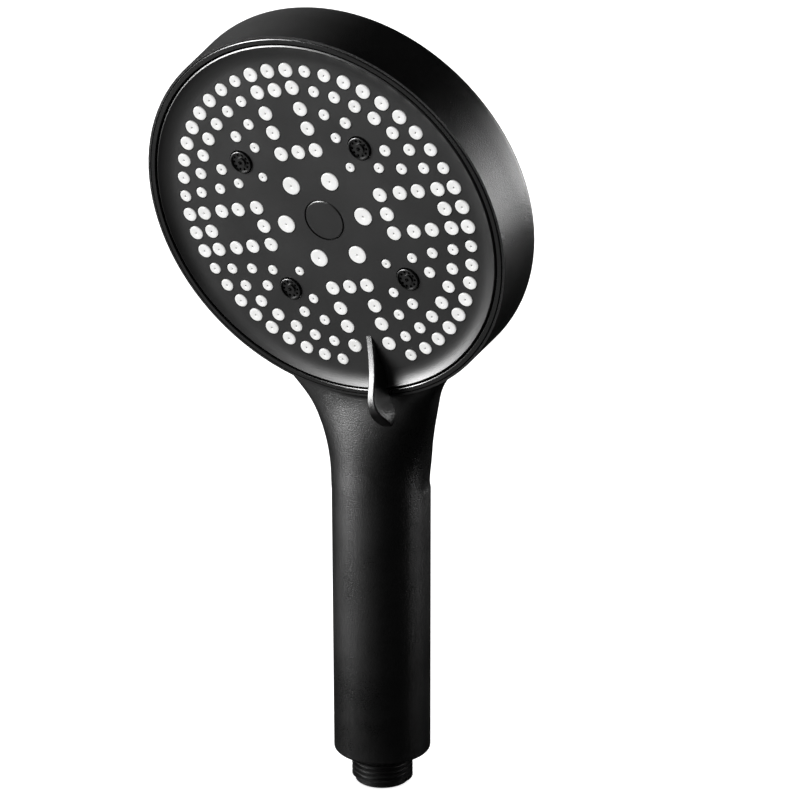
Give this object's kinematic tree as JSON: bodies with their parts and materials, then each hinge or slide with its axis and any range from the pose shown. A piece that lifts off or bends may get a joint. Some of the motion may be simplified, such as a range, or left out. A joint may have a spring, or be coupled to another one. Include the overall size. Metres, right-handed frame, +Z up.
{
  "type": "handheld shower head",
  "caption": "Handheld shower head: a round tilted spray head on a straight round handle, silicone nozzles, a fin lever that turns the face to pick the spray, and a threaded hose inlet",
  "frame": {"origin": "centre of the hose thread's free end, on the handle's axis", "axes": "+Z runs up the handle to the head, the spray face looks along -Y and is tilted 17 degrees down, +X is to the right of someone looking at the spray face"},
  "size_m": [0.1286, 0.0718, 0.2704],
  "materials": {
    "shell_plastic": "satin black moulded plastic with a very fine grain",
    "face_plastic": "dark satin plastic",
    "trim_plastic": "semi-gloss black plastic",
    "nozzle_silicone": "soft white silicone",
    "mist_plastic": "fine black moulded plastic",
    "inner_plastic": "natural moulded plastic",
    "seal_rubber": "black rubber",
    "spring_steel": "stainless spring wire",
    "screw_steel": "stainless steel",
    "screen_steel": "perforated stainless sheet"
  },
  "bodies": {
    "body": {"bezel_ring": "trim_plastic", "diverter_base": "inner_plastic", "base_screws": "screw_steel", "diverter_seal": "seal_rubber", "seal_spring": "spring_steel", "detent_spring": "spring_steel", "pivot_screw": "screw_steel", "thrust_washer": "inner_plastic", "body_shell": "shell_plastic", "inlet_nipple": "shell_plastic", "filter_screen": "screen_steel", "flow_restrictor": "inner_plastic", "restrictor_o_ring": "seal_rubber", "water_tube": "inner_plastic", "tube_o_ring_lower": "seal_rubber", "tube_o_ring_upper": "seal_rubber", "waterway_elbow": "inner_plastic"},
    "face": {"face_plate": "face_plastic", "nozzle_mat": "nozzle_silicone", "chamber_plate": "inner_plastic", "port_plate": "inner_plastic", "centre_cap": "face_plastic", "mode_lever": "shell_plastic", "mist_nozzle_1": "mist_plastic", "mist_nozzle_2": "mist_plastic", "mist_nozzle_3": "mist_plastic", "mist_nozzle_4": "mist_plastic", "swirl_core_1": "inner_plastic", "swirl_core_2": "inner_plastic", "swirl_core_3": "inner_plastic", "swirl_core_4": "inner_plastic"},
    "detent": {"detent_ball": "screw_steel"}
  },
  "joints": [
    {"name": "face_turn", "type": "hinge", "parent": "body", "child": "face", "pos_m": [0, -0.03529, 0.20391], "axis": [0, -0.9563, -0.2924], "range_deg": [-50, 25]},
    {"name": "detent_slide", "type": "slide", "parent": "body", "child": "detent", "axis": [0, -0.9563, -0.2924], "range_m": [0, 0.0006], "stiffness_N_per_m": 300, "springref_m": 0.003}
  ]
}
